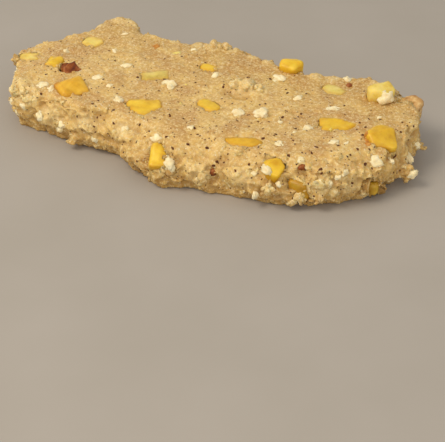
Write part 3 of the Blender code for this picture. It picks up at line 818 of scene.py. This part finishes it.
def broken_bit(place, half, out):
    """A larger bit with two or three smaller ones grown onto it, which gives it a crumbly outline."""
    flat = out.to_track_quat("Z", "Y").to_matrix()
    made = [(place, half, out)]
    for _ in range(bit_draw.choice((2, 3))):
        turn = bit_draw.uniform(0, math.tau)
        share = bit_draw.uniform(0.4, 0.62)
        shift = flat @ Vector((0.72 * half[0] * math.cos(turn), 0.72 * half[1] * math.sin(turn), -0.12 * half[2]))
        made.append((place + shift, tuple(share * size for size in half), out))
    return made


rows = []
for x, y, a, b, proud in CREAM_ON_TOP:
    place, _ = on_surface(x, y, TOP_MM, 0.0, [dough_tree])
    tall = 0.55 + 0.45 * proud
    place.z += proud - tall
    rows += broken_bit(place, (a, b, tall), Vector((0, 0, 1)))
for x, y, z, a, b, c in CREAM_ELSEWHERE:
    place, out = on_surface(x, y, z, 0.3 * c)
    rows += broken_bit(place, (0.9 * a, 0.9 * b, c), out)
for place, out in drawn_places(CREAM_AT_RANDOM, np.clip(face_broken, 0.03, 1), seed=31, clear_mm=1.0):
    size = 0.3 + 0.6 * abs(noise.cell(place))
    rows += broken_bit(place - out * 0.25, (size + 0.15, size, 0.6 * size + 0.1), out)
scatter("cream_bits", rows, CREAM, seed=41, fineness=3, unevenness=0.5, cuts=2)

# %% [markdown]
# ## Dark specks
# Ground spice, or the bran of the flour, shows as brown-black specks, from dust of a fifth of a millimetre to flakes
# of a whole one. They lie flat in the surface, so their short side points outwards. The ones listed are large enough
# to be seen one by one, and the dust between them is drawn at random.

# %% Specks of spice
LARGE_SPECKS = [
    (-27.4, 1.8, 11.0), (-37.4, -12.0, 11.0), (-14.8, -17.2, 11.2), (-3.7, -19.5, 10.1), (0.9, -12.1, 10.9),
    (7.0, -16.3, 10.8), (-12.5, 0.4, 10.9), (-13.2, -1.8, 10.9), (-18.2, -2.3, 11.0), (-24.3, -7.4, 11.1),
    (-28.3, -9.5, 11.0), (-9.3, 10.0, 11.1), (-8.3, 6.9, 11.0), (-8.5, 12.2, 11.0), (-5.3, 2.6, 11.0),
    (1.3, 4.2, 10.9), (-2.5, -12.9, 11.0), (-17.7, -21.1, 7.8), (-5.8, -22.0, 7.9), (-6.7, -19.0, 10.4),
    (-13.0, -20.0, 9.3), (10.8, -18.7, 9.7), (9.1, -11.8, 11.0), (5.1, -14.6, 11.0), (3.8, -21.6, 9.0),
    (1.2, -20.0, 10.3), (14.7, -19.7, 8.3), (-32.3, -19.8, 11.3), (-2.5, -9.7, 10.9), (-22.4, -21.6, 8.8),
    (13.7, -21.5, 7.0), (6.4, -19.5, 9.7), (4.3, 10.7, 11.0), (8.9, 12.7, 11.0), (15.4, 9.4, 11.1),
    (13.6, 2.3, 11.0), (19.5, -0.6, 11.0), (29.1, 11.1, 11.0), (30.2, 18.9, 11.1), (22.4, 2.9, 10.9),
    (22.5, 1.4, 10.9), (24.5, -3.7, 10.9), (15.3, -8.0, 11.0), (20.4, -10.8, 11.0), (26.6, -8.6, 11.0),
    (22.1, -8.1, 11.0), (32.0, -7.9, 11.1), (35.5, -7.7, 10.8), (28.4, -13.7, 10.7), (32.2, -10.5, 11.0),
    (35.8, -5.0, 11.0), (21.6, -18.6, 9.0), (19.3, -20.8, 7.6), (44.9, 7.3, 10.8), (45.9, 11.6, 10.4),
    (37.6, 4.7, 11.1), (38.5, 1.4, 11.0), (46.9, 3.8, 3.6), (42.7, -5.3, 8.7), (47.1, 2.6, 7.4),
    (42.0, -10.1, 6.1), (36.6, -14.0, 8.6), (39.1, -7.1, 10.3), (27.5, -9.4, 11.1), (12.6, 1.4, 11.0),
    (27.1, 2.3, 10.9), (31.4, -14.1, 10.1), (36.3, 2.8, 11.0), (35.5, 5.9, 11.0), (43.7, 10.6, 11.1),
    (41.8, -2.0, 10.2), (35.8, -13.1, 9.6), (39.9, -3.8, 10.7),
]
MEDIUM_SPECKS = 110
DUST_SPECKS = 700
speck_draw = random.Random(7)
rows = []
for place in LARGE_SPECKS:
    sunk, out = on_surface(*place, 0.02, [dough_tree])
    length = speck_draw.uniform(0.26, 0.5)
    rows.append((sunk, (length, speck_draw.uniform(0.19, 0.33), 0.14), out))
in_the_middle = (face_middle[:, 0] > -22) * (face_middle[:, 1] < 12)
for place, out in drawn_places(MEDIUM_SPECKS, 0.15 + in_the_middle, seed=52, clear_mm=0.3):
    length = speck_draw.uniform(0.2, 0.38)
    rows.append((place, (length, speck_draw.uniform(0.13, 0.22), 0.1), out))
dusty = 0.35 + (face_middle[:, 1] < 4) * 0.5 - 0.25 * face_broken
for place, out in drawn_places(DUST_SPECKS, dusty, seed=53, clear_mm=0.3):
    length = speck_draw.uniform(0.09, 0.24)
    rows.append((place, (length, speck_draw.uniform(0.07, 0.16), 0.08), out))
scatter("spice_specks", rows, SPICE, seed=42, fineness=2, unevenness=0.6)

# %% [markdown]
# ## Loose crumbs
# Where the dough broke, small crumbs cling to the sides and along the rim, and a few lie round the dice, so that a
# die looks bedded and not set in a cut hole. They take the dough's own finish.

# %% Crumbs of dough
SIDE_CRUMBS = 460
CRUMBS_ROUND_EACH_DIE = 10
RIM_CRUMBS = 90
crumb_draw = random.Random(23)
rows = []
for place, out in drawn_places(SIDE_CRUMBS, np.clip(face_broken, 0.02, 1) ** 2, seed=61, clear_mm=0.2):
    half = crumb_draw.uniform(0.2, 0.55)
    rows.append((place - out * 0.3 * half, (half, half * crumb_draw.uniform(0.6, 1.0), 0.7 * half), out))
for node, tree in food_trees.items():
    exposed = [point for point in dough_points if point.z > 1.0 and tree.find_nearest(point, 0.5)[0] is not None]
    crumb_draw.shuffle(exposed)
    kept = 0
    for place in exposed:
        _, facing, _, _ = dough_tree.find_nearest(place)
        start = place + facing * 0.8
        if dough_tree.ray_cast(start, facing, 4.0)[0] is None and tree.find_nearest(start, 0.3)[0] is None:
            half = crumb_draw.uniform(0.2, 0.55)
            rows.append((place, (half, 0.8 * half, 0.5 * half), facing))
            kept += 1
        if kept >= CRUMBS_ROUND_EACH_DIE:
            break
at_rim = (face_middle[:, 2] > 9.4) * (face_broken > 0.1) * (face_broken < 0.95) * 1.0
for place, out in drawn_places(RIM_CRUMBS, at_rim, seed=62, clear_mm=0.3):
    half = crumb_draw.uniform(0.4, 1.1)
    rows.append((place - out * 0.4 * half, (half, half * crumb_draw.uniform(0.6, 1.0), 0.7 * half), out))
scatter("dough_crumbs", rows, DOUGH, seed=43, fineness=2, unevenness=0.7, cuts=2)

# %% [markdown]
# The inside of the slab stayed paler than its skin. It shows in lumps that broke loose: one on the top, some along
# the back edge and the left corner, and more in the front. They are made like the cream bits, in a paler dough.

# %% Paler lumps and crumbs from the inside of the slab
PALE_CRUMBS = 70
PALE_LUMPS = [
    (33.0, -17.0, 3.0, 1.5, 1.1, 1.0), (31.4, -17.6, 2.0, 1.2, 0.9, 0.8),
    (3.6, 5.4, 11.9, 1.5, 1.2, 1.1), (6.6, 6.2, 12.5, 1.9, 1.5, 1.5), (9.4, 7.0, 11.9, 1.4, 1.2, 1.1),
    (3.8, 7.0, 11.4, 1.0, 0.8, 0.6), (8.0, 8.4, 11.4, 1.1, 0.8, 0.6), (6.4, 4.6, 11.8, 1.0, 0.8, 0.7),
    (-10.4, 20.0, 12.0, 1.4, 1.2, 1.3), (-8.0, 21.2, 11.8, 1.3, 1.1, 1.2), (-12.6, 19.0, 11.6, 1.1, 0.9, 0.9),
    (-40.6, -20.2, 9.8, 1.6, 1.2, 1.0), (-38.0, -20.6, 10.2, 1.5, 1.1, 0.9), (-36.0, -21.0, 9.8, 1.2, 1.0, 0.8),
    (-43.0, -17.4, 9.2, 1.4, 1.1, 0.9), (-34.8, -20.4, 9.0, 1.0, 0.9, 0.7), (36.6, -14.4, 5.9, 1.9, 1.5, 1.0),
    (38.8, -12.6, 4.2, 1.3, 1.0, 0.8), (26.8, -20.2, 5.0, 1.4, 1.0, 0.8), (12.4, -23.0, 4.0, 1.6, 1.1, 0.9),
    (43.2, -6.6, 2.6, 1.1, 0.9, 0.8),
]
rows = []
for x, y, z, a, b, c in PALE_LUMPS:
    place, out = on_surface(x, y, z, 0.25 * c)
    rows += broken_bit(place, (a, b, c), out)
scatter("pale_lumps", rows, FRESH_DOUGH, seed=48, fineness=3, unevenness=0.5, cuts=1)
rows = []
for place, out in drawn_places(PALE_CRUMBS, np.clip(face_broken, 0.0, 1) ** 2, seed=63, clear_mm=0.4):
    half = crumb_draw.uniform(0.35, 1.0)
    rows.append((place - out * 0.4 * half, (half, half * crumb_draw.uniform(0.6, 1.0), 0.65 * half), out))
scatter("pale_crumbs", rows, FRESH_DOUGH, seed=47, fineness=3, unevenness=0.7, cuts=2)

# %% [markdown]
# ## Chips of nut and peel
# A few chips differ from the rest: dark round bits of roasted nut, some orange peel stuck to the large die at the
# right end, and thin chips of the pale fruit. They are listed one by one and cut with three flat faces each.

# %% Chips
NUT_CHIPS = [
    (26.0, 19.9, 11.2, 0.8, 0.7, 0.5), (32.2, -15.2, 9.4, 0.8, 0.65, 0.5), (13.8, -20.9, 5.4, 0.9, 0.8, 0.6),
    (-12.0, 22.0, 6.2, 1.3, 1.0, 0.7), (14.0, 21.6, 4.2, 1.0, 0.9, 0.6),
]
PEEL_CHIPS = [
    (39.7, 1.1, 12.0, 0.55, 0.5, 0.3), (39.5, 1.0, 11.1, 0.65, 0.55, 0.35), (40.3, 0.0, 10.9, 0.6, 0.5, 0.4),
    (41.2, -1.0, 10.8, 0.8, 0.65, 0.45),
    (-23.1, 13.1, 11.0, 1.2, 1.0, 0.35),
]
FRUIT_CHIPS = [
    (-17.0, 12.4, 11.0, 1.2, 0.9, 0.3), (-3.6, -7.2, 11.0, 1.0, 0.6, 0.25), (-7.0, 0.9, 11.0, 0.5, 0.5, 0.3),
    (31.2, 0.4, 11.0, 0.5, 0.4, 0.3), (-13.0, 21.4, 8.6, 1.2, 0.9, 0.7), (-41.9, 12.6, 6.0, 1.3, 1.0, 0.7),
]
for name, chips, finish, slot, seed in (
    ("nut_chips", NUT_CHIPS, NUT_SKIN, "nut", 44),
    ("peel_chips", PEEL_CHIPS, ORANGE, "fruit", 45),
    ("fruit_chips", FRUIT_CHIPS, PALE, "fruit", 46),
):
    rows = []
    for x, y, z, a, b, c in chips:
        place, out = on_surface(x, y, z, 0.15)
        rows.append((place, (a, b, c), out))
    scatter(name, rows, finish, seed, fineness=3, unevenness=0.5, cuts=3)

# %% [markdown]
# ## The table
# The bar lies on something broad, pale and matt. One large square with a plain finish gives it a place to cast its
# shadow, and as it is only a stage, it is marked as a backdrop and left out of the sizes.

# %% Floor
# A board with matt paint: no gloss, and so faint an unevenness that it doesn't draw the eye from the bar
FLOOR_MM = 1500.0
CLOUD_MM = 40.0
floor_material, tree, shader, mm = new_finish("matt_painted_table")
speckle = add(tree, "ShaderNodeTexNoise", {"Vector": mm, "Scale": 1 / CLOUD_MM, "Detail": 3.0})
tint = add(tree, "ShaderNodeValToRGB", {0: speckle}, stops=((0.3, "#a39b90"), (0.7, "#a9a197")))
feed(tree, shader, {"Base Color": tint, "Roughness": 0.7})
half = FLOOR_MM * MM / 2
floor_mesh = bpy.data.meshes.new("floor")
floor_mesh.from_pydata([(-half, -half, 0), (half, -half, 0), (half, half, 0), (-half, half, 0)], [], [(0, 1, 2, 3)])
floor_mesh.materials.append(floor_material)
floor = bpy.data.objects.new("floor", floor_mesh)
bpy.context.scene.collection.objects.link(floor)
floor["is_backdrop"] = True
print("floor:", FLOOR_MM, "mm wide")

# %% [markdown]
# ## The light
# The picture was taken in soft indoor light: the shadows are faint and the sides are nearly as bright as the top. A
# sun lamp would cut hard shadows, so a large area light overhead, a weaker one from the front and a bright even
# surround share the work. The Standard view transform leaves the colours as the finishes set them.

# %% Light
def area_light(name, place, size, watts, hex_colour):
    """A square area light that faces the middle of the bar."""
    lamp = bpy.data.lights.new(name, "AREA")
    lamp.size = size
    lamp.energy = watts
    lamp.color = linear(hex_colour)[:3]
    holder = bpy.data.objects.new(name, lamp)
    holder.location = place
    holder.rotation_euler = (Vector((0, 0, 0)) - Vector(place)).to_track_quat("-Z", "Y").to_euler()
    bpy.context.scene.collection.objects.link(holder)
    return holder


area_light("key_light", (-0.27, -0.33, 0.56), size=0.32, watts=2.7, hex_colour="#fff5e6")
area_light("fill_light", (0.30, -0.44, 0.22), size=0.5, watts=0.95, hex_colour="#fff8ee")
world = bpy.data.worlds.new("even_surround")
bpy.context.scene.world = world
world.use_nodes = True
world.node_tree.nodes["Background"].inputs["Color"].default_value = linear("#f4f2ee")
world.node_tree.nodes["Background"].inputs["Strength"].default_value = 0.64
bpy.context.scene.view_settings.view_transform = "Standard"
print("area lights:", len(bpy.data.lights))

# %% [markdown]
# ## The camera
# It looks down from about a third of a metre with a long lens, so the far edge hardly shrinks. Its focal length is
# known in pixels of the picture, and the sensor's width turns that into millimetres.

# %% Camera
PIXELS_WIDE = 445
FOCAL_PIXELS = 1417.0
SENSOR_MM = 36.0
LOOKS_DOWN_DEG, TURNED_DEG = 34.9, 31.0
camera_data = bpy.data.cameras.new("camera")
camera_data.sensor_width = SENSOR_MM
camera_data.lens = FOCAL_PIXELS * SENSOR_MM / PIXELS_WIDE
camera_data.clip_start = 0.01
camera = bpy.data.objects.new("camera", camera_data)
camera.location = (0.1486, -0.24133, 0.17291)
camera.rotation_euler = (math.radians(90 - LOOKS_DOWN_DEG), 0, math.radians(TURNED_DEG))
bpy.context.scene.collection.objects.link(camera)
bpy.context.scene.camera = camera
print("lens:", round(camera_data.lens, 1), "mm")

# %% [markdown]
# ## The sizes
# The skin and the bits may stand out of the imported solids by a hair only. The corners of both boxes are set side
# by side, and how far each moved is printed.

# %% Print how far the sizes moved
sizes = {"cad": [list(corner) for corner in cad_box], "visual": [list(corner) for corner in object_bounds()]}
for end, before, after in zip(("low", "high"), sizes["cad"], sizes["visual"]):
    print(end, "corner moved by, in mm:", [round((b - a) / MM, 2) for a, b in zip(before, after)])
